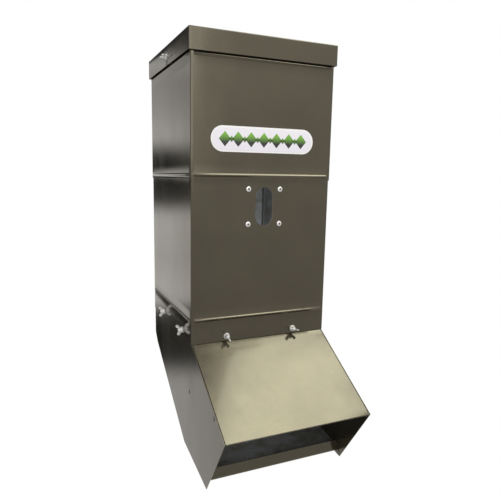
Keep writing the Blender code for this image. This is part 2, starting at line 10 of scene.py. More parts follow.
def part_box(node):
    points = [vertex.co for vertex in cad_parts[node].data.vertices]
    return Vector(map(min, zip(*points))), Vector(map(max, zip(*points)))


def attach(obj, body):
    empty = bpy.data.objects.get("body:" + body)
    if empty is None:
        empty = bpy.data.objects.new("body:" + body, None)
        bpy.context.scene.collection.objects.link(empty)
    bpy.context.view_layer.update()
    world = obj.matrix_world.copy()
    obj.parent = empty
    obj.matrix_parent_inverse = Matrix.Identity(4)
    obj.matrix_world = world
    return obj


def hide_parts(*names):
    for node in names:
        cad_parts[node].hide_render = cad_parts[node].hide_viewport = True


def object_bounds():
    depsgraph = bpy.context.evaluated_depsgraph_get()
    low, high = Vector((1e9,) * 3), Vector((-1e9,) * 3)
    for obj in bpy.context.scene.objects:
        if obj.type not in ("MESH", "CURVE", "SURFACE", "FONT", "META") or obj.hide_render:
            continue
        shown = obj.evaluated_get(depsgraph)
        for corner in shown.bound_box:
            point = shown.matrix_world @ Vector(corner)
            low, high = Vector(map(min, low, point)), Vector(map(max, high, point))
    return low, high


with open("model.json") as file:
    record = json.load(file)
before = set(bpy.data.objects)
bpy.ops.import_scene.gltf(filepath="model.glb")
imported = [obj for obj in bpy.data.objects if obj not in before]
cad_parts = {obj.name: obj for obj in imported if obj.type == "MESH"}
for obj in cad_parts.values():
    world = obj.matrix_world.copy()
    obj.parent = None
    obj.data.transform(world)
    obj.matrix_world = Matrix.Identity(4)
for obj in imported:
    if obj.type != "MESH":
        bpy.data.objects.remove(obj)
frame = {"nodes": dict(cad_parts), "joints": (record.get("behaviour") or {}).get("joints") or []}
cad_low, cad_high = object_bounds()

# Sheet and bends
SHEET = 0.001
GAP = 0.0003                            # between nested sheets
BRACKET_SHEET = 0.002
CORNER_RADIUS = 0.002                   # of the hopper's upright corners
BEND = 0.002                            # inner radius of the hood's and the gate's bends
TRAY_BEND = 0.004
BRACKET_BEND = 0.004
EDGE = 0.00025                          # rounding of a cut edge
SEAM_WIDTH = 0.005                      # of the strip up the lower section's rear right corner

# Rolled beads of the hopper
BEAD_PROUD = 0.0025
BEAD_HALF_HEIGHT = 0.0042
BEAD_STOP = 0.005                       # plain stretch at each corner
BEAD_FADE = 0.006                       # length over which a bead runs out

# Unevenness of the large sheets
RIPPLE = 0.0004
RIPPLE_ALONG = 7.0                      # noise waves per metre, along the sheet and up it
RIPPLE_UP = 5.5
CALM_CORNER = 0.06                      # the ripple grows over this distance from a corner
HOOD_SAG = 0.0009

# Shading
SMOOTH_ANGLE = math.radians(20)         # edges sharper than this stay crisp on folded sheet
ROUND_ANGLE = math.radians(34)          # the same on turned fasteners
BEVEL_ANGLE = math.radians(50)          # edges sharper than this are rounded

# Holes
REACH = 0.004                           # how far a cutting tool goes past a sheet's face
BOLT_HOLE = 0.0028                      # radius
WINDOW = (0.038, 0.077)                 # width and height of the oblong holes
VENT = (0.0044, 0.0090)
STRAP_SLOT = (0.008, 0.054)
GATE_SLOT = 0.0056                      # width only, because its height follows the gate's travel
SCREW_HOLE = 0.004                      # radius

# Places read from the frame
lid_low, lid_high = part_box("lid")
upper_low, upper_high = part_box("upper_hopper_section")
lower_low, lower_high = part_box("lower_hopper_section")
cheek_low, cheek_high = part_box("head_right_panel")
tray_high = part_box("feed_tray")[1]
gate_low, gate_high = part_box("flow_gate")
UPPER_HALF = upper_high.x - BEAD_PROUD
LOWER_HALF = lower_high.x - BEAD_PROUD
LID_HALF = lid_high.x
FRONT_Y = lower_low.y + BEAD_PROUD
REAR_Y = lower_high.y - BEAD_PROUD
CENTRE_Y = (FRONT_Y + REAR_Y) / 2
LOWER_BOTTOM = lower_low.z
MID_BEAD = upper_low.z + 0.008
TOP_BEAD = lid_low.z - 0.0045
LOW_BEAD = lower_low.z + 0.049
COLLAR_TOP = cheek_high.z
HEAD_HALF = cheek_high.x                # to the side panels' outer faces
CROSS_HALF = tray_high.x                # to the ends of the sheets between the side panels

# Lid
LID_FOLD = 0.0022                       # outer radius of the fold round the top
LID_UNEVEN = 0.6                        # share of the ripple that the stiff skirt takes

# Head outline, as points (y, z)
SHOULDER = LOWER_BOTTOM - GAP
HOOD_TIP = (cheek_low.y, LOWER_BOTTOM - 0.116)
TOE = (FRONT_Y - 0.0916, cheek_low.z)
BELLY = (FRONT_Y + 0.0531, LOWER_BOTTOM - 0.2356)
HEEL = (REAR_Y - 0.0198, LOWER_BOTTOM - 0.0852)
HEEL_TOP = LOWER_BOTTOM - 0.064
VENTS = ((FRONT_Y + 0.0152, LOWER_BOTTOM - 0.105), (FRONT_Y - 0.131, LOWER_BOTTOM - 0.093))

# Hood and tray
HOOD_GAP = 0.0013                       # between the hood's ends and the side panels
HEM = 0.008
HEM_OPENING = 0.0024
RAMP_INSET = 0.006                      # of the tray from the side panels' rear and lower edges
FLOOR_INSET = 0.003
LIP_Y = FRONT_Y - 0.0785
LIP_TOP = LOWER_BOTTOM - 0.2245
LIP_TAB = 0.010
TRAY_LAP = 0.028
TRAY_FLANGE = 0.016

# Tree brackets
WEB_HALF = 0.045
STRAP_Y = -0.016
SCREW_OFFSET = 0.038                    # up and down from the middle of the web

# Fasteners, as radii and heights
THREAD_RADIUS = 0.0024
THREAD_DEPTH = 0.0004
THREAD_PITCH = 0.0008
PLAIN_SHANK = 0.0045                    # from the bolt's head to its thread
BOLT_HEAD = 0.0055
BOLT_HEAD_HEIGHT = 0.0026
WASHER_RADIUS = 0.0065
NUT_BORE = 0.0027
WING_HALF_THICKNESS = 0.001
RIVET_SHANK = 0.0020
RIVET_HEAD_HEIGHT = 0.0016

# Label
LABEL_RIM = 0.003
DIAMONDS = 13
DIAMOND_PITCH = 0.0138
LARGE_DIAMOND = (0.0145, 0.0125)        # half height and half width
SMALL_DIAMOND = (0.0060, 0.0052)

# Colours
BRONZE = (0.109, 0.0965, 0.067)
# a darker copy of the bronze: painted shade on the seam in the hopper's inner corner, and also the paint of
# the gate and brackets
SHADED_BRONZE = (0.075, 0.071, 0.055)
PALE_ZINC = (0.93, 0.93, 0.91)
GREY_ZINC = (0.80, 0.80, 0.78)
GREY_STEEL = (0.20, 0.19, 0.17)
DARK_STEEL = (0.10, 0.10, 0.09)
SPANGLE_DARK = (0.34, 0.36, 0.38)
SPANGLE_LIGHT = (0.52, 0.54, 0.57)
FEED_DUST = (0.36, 0.34, 0.29)
DAMP_STAIN = (0.24, 0.23, 0.175)
CLEAR_TINT = (0.93, 0.95, 0.96)
DUSTY_TINT = (0.86, 0.89, 0.90)
RIM_WHITE = (0.98, 0.98, 0.98)
RIM_SHADE = (0.95, 0.95, 0.95)
FIELD_WHITE = (0.92, 0.90, 0.97)
FIELD_SHADE = (0.87, 0.85, 0.93)
LEAF_GREEN = (0.20, 0.46, 0.060)
CHARCOAL = (0.032, 0.036, 0.033)
FLOOR_PALE = (0.93, 0.93, 0.93)
FLOOR_SHADE = (0.90, 0.90, 0.90)
BLACK = (0.0, 0.0, 0.0)

# Studio: tones of the surroundings, as (height of the direction looked in, brightness)
REAR_TONES = (
    (-1.0, 0.50), (-0.45, 0.66), (-0.40, 0.70),                     # floor
    (-0.365, 0.02), (-0.274, 0.0),                                  # dark gap
    (-0.252, 1.0), (-0.17, 0.80), (-0.080, 0.95),                   # low screen
    (-0.052, 0.03), (0.040, 0.02),                                  # dark gap
    (0.070, 0.90), (0.12, 0.66), (0.18, 0.50), (0.212, 0.82),       # high screen
    (0.238, 0.02), (0.45, 0.12),                                    # dark gap
    (0.7, 0.7), (1.0, 1.0))                                         # ceiling
FRONT_TONES = (
    (-1.0, 0.48), (-0.35, 0.52),                                    # floor
    (-0.1, 0.64), (0.05, 0.72), (0.22, 0.86),                       # wall
    (0.4, 0.9), (1.0, 1.0))                                         # ceiling
TONE_TINT = (1.0, 0.975, 0.95)
FLOOR_DROP = 1.1
FLOOR_RADIUS = 1.2

# Camera, solved from the photograph's straight edges
CAMERA_ANGLES = (22.96, 9.22, 0.82)     # yaw, pitch and roll in degrees
CAMERA_PLACE = (-0.4326, FRONT_Y - 0.8851, lid_high.z - 0.2651)
CAMERA_LENS = 34.94                     # millimetres
CAMERA_SHIFT = (0.0276, 0.0100)


# ---- node materials ---------------------------------------------------------------------------

class Nodes:
    """A short way to build one material's node tree."""

    def __init__(self, name):
        self.material = bpy.data.materials.new(name)
        self.material.use_nodes = True
        self.tree = self.material.node_tree
        self.shader = self.tree.nodes["Principled BSDF"]
        self.place = self.add("ShaderNodeTexCoord").outputs["Object"]

    def add(self, kind, **values):
        node = self.tree.nodes.new(kind)
        for key, value in values.items():
            setattr(node, key, value)
        return node

    def link(self, output, socket):
        self.tree.links.new(output, socket)

    def set(self, **values):
        for key, value in values.items():
            self.shader.inputs[key.replace("_", " ")].default_value = value

    def noise(self, scale, detail=3.0, roughness=0.5, stretch=None):
        texture = self.add("ShaderNodeTexNoise")
        texture.inputs["Scale"].default_value = scale
        texture.inputs["Detail"].default_value = detail
        texture.inputs["Roughness"].default_value = roughness
        self.link(self.stretched(stretch), texture.inputs["Vector"])
        return texture.outputs["Fac"]

    def cells(self, scale, output="Color"):
        texture = self.add("ShaderNodeTexVoronoi")
        texture.inputs["Scale"].default_value = scale
        self.link(self.place, texture.inputs["Vector"])
        return texture.outputs[output]

    def stretched(self, stretch):
        if stretch is None:
            return self.place
        mapping = self.add("ShaderNodeMapping")
        mapping.inputs["Scale"].default_value = stretch
        self.link(self.place, mapping.inputs["Vector"])
        return mapping.outputs["Vector"]

    def span(self, value, low, high, from_low=0.3, from_high=0.7):
        ramp = self.add("ShaderNodeMapRange")
        ramp.inputs["From Min"].default_value = from_low
        ramp.inputs["From Max"].default_value = from_high
        ramp.inputs["To Min"].default_value = low
        ramp.inputs["To Max"].default_value = high
        self.link(value, ramp.inputs["Value"])
        return ramp.outputs["Result"]

    def blend(self, share, first, second, mode="MIX"):
        mix = self.add("ShaderNodeMix", data_type="RGBA", blend_type=mode)
        self.feed(mix.inputs[0], share)      # sockets 6, 7 and 2 are the colours A, B and Result
        self.feed(mix.inputs[6], first)
        self.feed(mix.inputs[7], second)
        return mix.outputs[2]

    def feed(self, socket, value):
        if isinstance(value, bpy.types.NodeSocket):
            self.link(value, socket)
        elif isinstance(value, (int, float)):
            socket.default_value = value
        else:
            socket.default_value = (*value, 1.0)

    def bump(self, height, distance, onto=None):
        node = self.add("ShaderNodeBump")
        node.inputs["Distance"].default_value = distance
        node.inputs["Strength"].default_value = 1.0
        self.link(height, node.inputs["Height"])
        if onto is not None:
            self.link(onto, node.inputs["Normal"])
        return node.outputs["Normal"]


def paint_material(name, color, roughness, metallic=0.85, coat=0.35):
    """Metallic powder coat: fine flakes, soft mottling, sag, orange peel and faint rubbed patches."""
    nodes = Nodes(name)
    darker = tuple(0.93 * value for value in color)
    lighter = tuple(1.06 * value for value in color)
    mottle = nodes.blend(nodes.span(nodes.noise(9.0), 0.0, 1.0), darker, lighter)
    flakes = nodes.blend(0.16, mottle, nodes.cells(1500.0), "OVERLAY")
    nodes.link(flakes, nodes.shader.inputs["Base Color"])
    rubbed = nodes.noise(14.0, 5.0, 0.6, (1.0, 1.0, 0.35))
    nodes.link(nodes.span(rubbed, roughness - 0.04, roughness + 0.07), nodes.shader.inputs["Roughness"])
    sag = nodes.bump(nodes.noise(6.0, 1.0), 0.0005)
    peel = nodes.bump(nodes.noise(650.0, 2.0), 0.00003, sag)
    nodes.link(peel, nodes.shader.inputs["Normal"])
    nodes.set(Metallic=metallic, Coat_Weight=coat, Coat_Roughness=0.06)
    return nodes.material


def galvanised_material():
    """Bare galvanised inner face: dull spangle, faint streaks, feed dust and damp stains."""
    nodes = Nodes("galvanised_inside")
    spangle = nodes.blend(nodes.cells(160.0, "Distance"), SPANGLE_DARK, SPANGLE_LIGHT)
    dusty = nodes.blend(nodes.span(nodes.noise(22.0, 6.0), 0.0, 0.35), spangle, FEED_DUST)
    stains = nodes.span(nodes.noise(26.0, 5.0, 0.65, (0.5, 1.0, 1.0)), 0.0, 0.8, 0.45, 0.62)
    stained = nodes.blend(stains, dusty, DAMP_STAIN)
    nodes.link(stained, nodes.shader.inputs["Base Color"])
    streaks = nodes.noise(60.0, 4.0, 0.6, (1.0, 1.0, 0.12))
    nodes.link(nodes.span(streaks, 0.36, 0.52), nodes.shader.inputs["Roughness"])
    nodes.link(nodes.bump(nodes.noise(300.0, 3.0), 0.00004), nodes.shader.inputs["Normal"])
    nodes.set(Metallic=0.55)
    return nodes.material


def bare_metal(name, dark, light, smooth, rough):
    """Unpainted metal with the soft grain of a casting or a sheared edge."""
    nodes = Nodes(name)
    tone = nodes.blend(nodes.span(nodes.noise(400.0, 4.0), 0.0, 1.0), dark, light)
    nodes.link(tone, nodes.shader.inputs["Base Color"])
    nodes.link(nodes.span(nodes.noise(700.0, 3.0), smooth, rough), nodes.shader.inputs["Roughness"])
    nodes.link(nodes.bump(nodes.noise(900.0, 3.0), 0.00004), nodes.shader.inputs["Normal"])
    nodes.set(Metallic=0.8)
    return nodes.material


def pane_material():
    """Clear polycarbonate with light dust and hairline scratches."""
    nodes = Nodes("clear_polycarbonate")
    tint = nodes.blend(nodes.span(nodes.noise(40.0), 0.0, 1.0), CLEAR_TINT, DUSTY_TINT)
    nodes.link(tint, nodes.shader.inputs["Base Color"])
    scratches = nodes.noise(220.0, 5.0, 0.7, (1.0, 1.0, 0.2))
    nodes.link(nodes.span(scratches, 0.02, 0.10), nodes.shader.inputs["Roughness"])
    nodes.set(Transmission_Weight=1.0, IOR=1.2, Specular_IOR_Level=0.2)
    return nodes.material


def film_material(name, top, bottom, low, high):
    """Printed film, shaded from a bottom colour to a top colour between two heights."""
    nodes = Nodes(name)
    split = nodes.add("ShaderNodeSeparateXYZ")
    nodes.link(nodes.place, split.inputs["Vector"])
    share = nodes.span(split.outputs["Z"], 0.0, 1.0, low, high)
    ink = nodes.blend(share, bottom, top)
    grain = nodes.blend(nodes.span(nodes.noise(2500.0, 1.0), 0.0, 0.04), ink, BLACK)
    nodes.link(grain, nodes.shader.inputs["Base Color"])
    nodes.link(nodes.span(nodes.noise(120.0, 3.0), 0.25, 0.38), nodes.shader.inputs["Roughness"])
    nodes.link(nodes.bump(nodes.noise(90.0, 2.0), 0.00005), nodes.shader.inputs["Normal"])
    return nodes.material


# ---- mesh tools -------------------------------------------------------------------------------

def arc(centre, radius, start, end, steps):
    """Points on an arc, with its angles in degrees."""
    angles = [math.radians(start + (end - start) * step / steps) for step in range(steps + 1)]
    return [(centre[0] + radius * math.cos(a), centre[1] + radius * math.sin(a)) for a in angles]


def rounded_path(points, radius, steps=6):
    """An open path with each inner corner replaced by an arc."""
    path = [points[0]]
    for before, corner, after in zip(points, points[1:], points[2:]):
        corner = Vector(corner)
        inward = (Vector(before) - corner).normalized()
        outward = (Vector(after) - corner).normalized()
        half_angle = inward.angle(outward) / 2
        centre = corner + (inward + outward).normalized() * radius / math.sin(half_angle)
        start = corner + inward * radius / math.tan(half_angle) - centre
        end = corner + outward * radius / math.tan(half_angle) - centre
        for step in range(steps + 1):
            direction = start.lerp(end, step / steps).normalized()
            path.append(tuple(centre + direction * radius))
    path.append(points[-1])
    return path


def dense(path, step):
    """The same path with points added so that no stretch is longer than the step."""
    result = [path[0]]
    for one, two in zip(path, path[1:]):
        one, two = Vector(one), Vector(two)
        count = max(1, math.ceil((two - one).length / step))
        result += [tuple(one.lerp(two, index / count)) for index in range(1, count + 1)]
    return result


def thickened(path, thickness):
    """A closed outline: the path, and the same path moved to its left by the thickness."""
    moved = []
    for index, point in enumerate(path):
        point = Vector(point)
        before = point - Vector(path[index - 1]) if index else None
        after = Vector(path[index + 1]) - point if index + 1 < len(path) else None
        before = (before or after).normalized()
        after = (after or before).normalized()
        normal = Vector((-(before + after).y, (before + after).x)).normalized()
        moved.append(tuple(point + normal * thickness / normal.dot(Vector((-before.y, before.x)))))
    return list(path) + moved[::-1]


def stadium(width, height, steps=24):
    """An upright rounded slot about the origin."""
    radius = width / 2
    rise = height / 2 - radius
    return arc((0, rise), radius, 0, 180, steps) + arc((0, -rise), radius, 180, 360, steps)


def link_mesh(name, shape, materials):
    """Turn a finished bmesh into an object of the scene."""
    bmesh.ops.recalc_face_normals(shape, faces=shape.faces)
    mesh = bpy.data.meshes.new(name)
    shape.to_mesh(mesh)
    shape.free()
    for material in materials:
        mesh.materials.append(material)
    item = bpy.data.objects.new(name, mesh)
    bpy.context.collection.objects.link(item)
    return item


def loft(name, rings, closed, materials, second_from=None):
    """Rings joined in turn, then closed into a loop or capped.

    The faces from the ring second_from on take the second material.
    """
    shape = bmesh.new()
    loops = [[shape.verts.new(point) for point in ring] for ring in rings]
    pairs = list(zip(loops, loops[1:]))
    if closed:
        pairs.append((loops[-1], loops[0]))
    else:
        shape.faces.new(loops[0])
        cap = shape.faces.new(loops[-1])
        cap.material_index = 1 if second_from is not None else 0
    for level, (one, two) in enumerate(pairs):
        for index in range(len(one)):
            following = (index + 1) % len(one)
            face = shape.faces.new((one[index], one[following], two[following], two[index]))
            inside = second_from is not None and second_from <= level < len(loops) - 1
            face.material_index = 1 if inside else 0
    return link_mesh(name, shape, materials)


def prism(name, outline, levels, axis, materials, all_second=False):
    """An outline of (y, z), (x, z) or (x, y) points run through levels along X, Y or Z."""
    place = {"X": lambda a, b, c: (c, a, b), "Y": lambda a, b, c: (a, c, b),
             "Z": lambda a, b, c: (a, b, c)}[axis]
    rings = [[place(a, b, level) for a, b in outline] for level in levels]
    return loft(name, rings, False, materials, 0 if all_second else None)


def turned(name, profile, bore, materials, steps=40):
    """A profile of (radius, height) points turned about local Z, solid or around a bore."""
    angles = [2 * math.pi * step / steps for step in range(steps)]
    rings = [[(radius * math.cos(a), radius * math.sin(a), height) for a in angles]
             for radius, height in profile]
    return loft(name, rings, bore, materials)


def stations(half, step=0.02):
    """Places from minus half to half, no further apart than the step."""
    count = math.ceil(2 * half / step)
    return [-half + 2 * half * index / count for index in range(count + 1)]


def finish_mesh(item, edge=EDGE, angle=SMOOTH_ANGLE):
    """Round the cut edges a little and shade the bends smooth."""
    if edge:
        bevel = item.modifiers.new("edge", "BEVEL")
        bevel.width = edge
        bevel.segments = 2
        bevel.limit_method = "ANGLE"
        bevel.angle_limit = BEVEL_ANGLE
    apply_modifiers(item)
    item.data.shade_smooth()
    item.data.set_sharp_from_angle(angle=angle)


def apply_modifiers(item):
    """Replace an object's mesh by the result of its modifiers."""
    depsgraph = bpy.context.evaluated_depsgraph_get()
    result = bpy.data.meshes.new_from_object(item.evaluated_get(depsgraph))
    item.modifiers.clear()
    item.data = result


def combine(item, tool, operation):
    """Join the tool to the item, or cut it out."""
    modifier = item.modifiers.new("combine", "BOOLEAN")
    modifier.operation = operation
    modifier.object = tool
    apply_modifiers(item)
    bpy.data.objects.remove(tool, do_unlink=True)


def point_along(item, position, direction, spin=0.0):
    """Stand an object at a position with its local Z along a direction."""
    aim = Vector(direction).to_track_quat("Z", "Y").to_matrix().to_4x4()
    item.matrix_world = Matrix.Translation(position) @ aim @ Matrix.Rotation(spin, 4, "Z")


def cut(item, outline, axis, level):
    """Cut an outline through the sheet that has a face at this level of the axis."""
    tool = prism("tool", outline, (level - REACH, level + REACH), axis, [item.data.materials[0]])
    combine(item, tool, "DIFFERENCE")


def drill(item, position, direction, radius=BOLT_HOLE):
    """A round hole through the sheet at a position."""
    tool = turned("drill", [(radius, -REACH), (radius, REACH)], False, [item.data.materials[0]], 28)
    point_along(tool, position, direction)
    combine(item, tool, "DIFFERENCE")


def ripple(x, z):
    """The slight unevenness of a large sheet, as a distance from its plane."""
    return RIPPLE * noise.noise(Vector((RIPPLE_ALONG * x, 1.7, RIPPLE_UP * z)))


def eased(share):
    """A share from 0 to 1 with soft ends, held there outside them."""
    share = min(1.0, max(0.0, share))
    return share * share * (3 - 2 * share)


def show(item, body, slot, *nodes):
    """Let a finished piece ride on its body and stand for its nodes of the frame."""
    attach(item, body)
    if nodes:
        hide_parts(*nodes)


def nut_joints(start=""):
    """The joints that wing nuts turn on, each placed on its bolt's axis."""
    return [joint for joint in frame["joints"]
            if joint["name"].startswith(start) and joint["name"].endswith("_nut_spin")]


def joint_place(joint, half):
    """Where a fastening's axis meets a wall this far from the hopper's middle."""
    place = Vector(joint["pos_m"])
    if abs(joint["axis"][0]) > 0.5:
        place.x = math.copysign(half, place.x)
    else:
        place.y = CENTRE_Y - half
    return place


# ---- hopper and lid ---------------------------------------------------------------------------

def side_stops(half):
    """Distances along one side where a section's rings have points."""
    flat = half - BEAD_STOP - BEAD_FADE
    ends = [flat + BEAD_FADE * share for share in (0.25, 0.5, 0.75, 1.0)]
    middle = [-flat + 2 * flat * index / 14 for index in range(15)]
    return [-value for value in ends[::-1]] + middle + ends


def square_ring(half, inset, push, z, uneven=1.0):
    """One level of a square tube, with a bead's push and each side's own ripple."""
    radius = CORNER_RADIUS - inset
    half_inner = half - inset
    corner = arc((half_inner - radius, -(half_inner - radius)), radius, -90, 0, 6)
    ring = []
    for turn in range(4):
        quarter = []
        for along in side_stops(half):
            from_corner = half - abs(along)
            bead = push * eased((from_corner - BEAD_STOP) / BEAD_FADE)
            wave = uneven * eased(from_corner / CALM_CORNER) * ripple(along + 0.37 * turn, z)
            quarter.append((along, -half_inner - bead - wave))
        spin = Matrix.Rotation(turn * math.pi / 2, 2)
        ring += [spin @ Vector(point) for point in quarter + corner]
    return [(point.x, point.y + CENTRE_Y, z) for point in ring]


def section_levels(bottom, top, beads, steps=12, spacing=0.018):
    """Heights and bead pushes from the bottom rim to the top rim, beads in rising order."""
    levels = [(bottom, 0.0)]
    for bead in (*beads, None):
        stop = top if bead is None else bead - BEAD_HALF_HEIGHT
        start = levels[-1][0]
        count = max(1, math.ceil((stop - start) / spacing))
        levels += [(start + (stop - start) * index / count, 0.0) for index in range(1, count + 1)]
        if bead is not None:
            for step in range(1, steps + 1):
                share = 2 * step / steps - 1
                push = BEAD_PROUD * (1 + math.cos(math.pi * share)) / 2
                levels.append((bead + share * BEAD_HALF_HEIGHT, push))
    return levels


def hopper_section(name, half, low, high, beads, materials):
    """A beaded square tube of sheet, painted outside and bare inside, with straight rims."""
    margin = (high.z - low.z) / 6
    outer = []
    inner = []
    for z, push in section_levels(low.z, high.z, beads):
        uneven = min(1.0, (z - low.z) / margin, (high.z - z) / margin)
        outer.append(square_ring(half, 0, push, z, uneven))
        inner.append(square_ring(half, SHEET, push, z, uneven))
    return loft(name, outer + inner[::-1], True, materials, len(outer))


def make_upper_section(paint, inside):
    """Upper tube, with the holes for the lid's two studs."""
    section = hopper_section("upper_section_shell", UPPER_HALF, upper_low, upper_high,
                             (MID_BEAD, TOP_BEAD), [paint, inside])
    for joint in nut_joints("lid_"):
        drill(section, joint_place(joint, UPPER_HALF), joint["axis"])
    finish_mesh(section)
    show(section, "feeder", "bronze_paint", "upper_hopper_section")


def make_lower_section(paint, inside, bare):
    """Lower tube, with its bolt holes and the window slot, whose cut face is bare."""
    section = hopper_section("lower_section_shell", LOWER_HALF, lower_low, lower_high,
                             (LOW_BEAD, MID_BEAD), [paint, inside])
    pane_low, pane_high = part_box("window_pane")
    middle = (pane_low + pane_high) / 2
    cut(section, [(middle.x + a, middle.z + b) for a, b in stadium(*WINDOW)], "Y", FRONT_Y)
    section.data.materials.append(bare)
    for polygon in section.data.polygons:
        offset = polygon.center - middle
        near = abs(offset.x) < WINDOW[0] / 2 + SHEET and abs(offset.z) < WINDOW[1] / 2 + SHEET
        if near and abs(polygon.normal.y) < 0.5:
            polygon.material_index = 2
    for joint in nut_joints("head_") + nut_joints("gate_"):
        drill(section, joint_place(joint, LOWER_HALF), joint["axis"])
    finish_mesh(section)
    show(section, "feeder", "bronze_paint", "lower_hopper_section")


def make_seam(paint):
    """The lower section's closing seam: a painted strip up the inside of its rear right corner, in the
    darker bronze as painted shade along the corner.
    """
    wall = REAR_Y - SHEET - GAP
    right = LOWER_HALF - SHEET - CORNER_RADIUS
    left = right - SEAM_WIDTH
    outline = [(left, wall), (left, wall - SHEET), (right, wall - SHEET), (right, wall)]
    levels = dense([(COLLAR_TOP + 0.006, 0.0), (lower_high.z - 0.004, 0.0)], 0.03)
    seam = prism("lower_section_seam", outline, [z for z, _ in levels], "Z", [paint])
    finish_mesh(seam)
    show(seam, "feeder", "bronze_paint")


def scaled_ring(half, share, z):
    """A flat ring shrunk about the lid's middle."""
    ring = square_ring(half, 0, 0, z, 0)
    return [(x * share, CENTRE_Y + (y - CENTRE_Y) * share, z) for x, y, _ in ring]


def lid_rings():
    """The lid's levels from the middle of its top, down the skirt and back up inside it."""
    top = lid_high.z
    shoulder = top - LID_FOLD
    inner_half = LID_HALF - LID_FOLD
    heights = [shoulder - (shoulder - lid_low.z) * share for share in (0.25, 0.5, 0.75, 1.0)]
    outer = [scaled_ring(inner_half, share, top) for share in (0.25, 0.5, 0.75, 0.9)]
    for turn in [math.radians(angle) for angle in (0, 18, 36, 54, 72, 90)]:
        half = inner_half + LID_FOLD * math.sin(turn)
        outer.append(square_ring(half, 0, 0, shoulder + LID_FOLD * math.cos(turn), 0))
    outer += [square_ring(LID_HALF, 0, 0, z, LID_UNEVEN) for z in heights]
    inner = [square_ring(LID_HALF, SHEET, 0, z, LID_UNEVEN) for z in heights[::-1]]
    inner.append(square_ring(LID_HALF, SHEET, 0, top - SHEET - 0.0008, 0))
    inner.append(scaled_ring(inner_half, 0.97, top - SHEET))
    return outer, inner


def make_lid(paint, inside):
    """Folded cap: flat top, rounded folds, and a skirt with a slot for each stud, open below."""
    outer, inner = lid_rings()
    lid = loft("lid_shell", outer + inner, False, [paint, inside], len(outer))
    for joint in nut_joints("lid_"):
        _, y, z = joint["pos_m"]
        below = lid_low.z - SHEET
        slot = arc((y, z), BOLT_HOLE, 0, 180, 16) + [(y - BOLT_HOLE, below), (y + BOLT_HOLE, below)]
        cut(lid, slot, "X", joint["axis"][0] * LID_HALF)
    finish_mesh(lid)
    show(lid, "lid", "bronze_paint", "lid")


# ---- feeder head ------------------------------------------------------------------------------

def make_cheek(word, side, paint, inside):
    """One side panel of the head."""
    outline = [(FRONT_Y + CORNER_RADIUS, COLLAR_TOP), (REAR_Y - CORNER_RADIUS, COLLAR_TOP),
               (REAR_Y - CORNER_RADIUS, SHOULDER), (REAR_Y - SHEET - GAP, SHOULDER),
               (REAR_Y - SHEET - GAP, HEEL_TOP), HEEL, BELLY, TOE, HOOD_TIP,
               (FRONT_Y + SHEET + GAP, SHOULDER), (FRONT_Y + CORNER_RADIUS, SHOULDER)]
    faces = sorted((side * HEAD_HALF, side * (HEAD_HALF - SHEET)))
    cheek = prism(f"head_{word}_cheek", outline, faces, "X", [paint, inside])
    for y, z in VENTS:
        cut(cheek, [(y + a, z + b) for a, b in stadium(*VENT, 10)], "X", side * HEAD_HALF)
    for joint in nut_joints(f"head_{word}_"):
        drill(cheek, joint_place(joint, HEAD_HALF), (side, 0, 0))
    finish_mesh(cheek)
    show(cheek, "feeder", "bronze_paint", f"head_{word}_panel")


def hood_frame():
    """The roof's upper edge, its direction downhill, the direction under it, and its length."""
    start = Vector((FRONT_Y + SHEET + GAP, SHOULDER))
    roof = Vector(HOOD_TIP) - start
    slope = roof.normalized()
    return start, slope, Vector((-slope.y, slope.x)), roof.length


def hood_path():
    """The hood's upper side: collar flange, roof, and the hem folded under the roof's lower edge."""
    start, slope, under, length = hood_frame()
    tip = start + slope * length
    roof = rounded_path([(start.x, COLLAR_TOP), tuple(start), tuple(tip)], BEND)
    turned_under = tip + under * HEM_OPENING
    hem = [tuple(tip), tuple(turned_under), tuple(turned_under - slope * HEM)]
    fold = rounded_path([roof[-2]] + hem, SHEET + 0.0001)[1:]
    return dense(roof[:-1] + fold, 0.015)


def let_sag(hood):
    """Sink the roof a little between its edges, with the sheet's ripple."""
    start, slope, under, length = hood_frame()
    for vertex in hood.data.vertices:
        down = (Vector((vertex.co.y, vertex.co.z)) - start).dot(slope) / length
        across = 1 - (vertex.co.x / CROSS_HALF) ** 2
        if 0 < down < 1:
            depth = HOOD_SAG * math.sin(math.pi * down) + ripple(vertex.co.x, down * 0.3)
            vertex.co.y += across * depth * under.x
            vertex.co.z += across * depth * under.y


def make_hood(paint):
    """Collar flange and sloping roof, bent from one sheet, with the front bolts' holes."""
    outline = thickened(hood_path(), SHEET)
    hood = prism("hood_sheet", outline, stations(CROSS_HALF - HOOD_GAP), "X", [paint])
    let_sag(hood)
    for joint in nut_joints("gate_"):
        x, _, z = joint["pos_m"]
        drill(hood, (x, FRONT_Y + GAP + 1.5 * SHEET, z), (0, 1, 0))
    finish_mesh(hood)
    show(hood, "feeder", "bronze_paint", "hood")


def make_back_panel(paint):
    """Flat rear panel of the head."""
    outer = REAR_Y - SHEET - GAP
    inner = outer - SHEET
    outline = [(outer, HEEL_TOP), (outer, COLLAR_TOP), (inner, COLLAR_TOP), (inner, HEEL_TOP)]
    panel = prism("head_rear_sheet", outline, stations(CROSS_HALF), "X", [paint])
    finish_mesh(panel)
    show(panel, "feeder", "bronze_paint", "head_back_panel")


def floor_height(y):
    """Height of the tray floor's underside, a little above the side panels' lower edge."""
    fall = (TOE[1] - BELLY[1]) / (TOE[0] - BELLY[0])
    return BELLY[1] + FLOOR_INSET + fall * (y - BELLY[0])


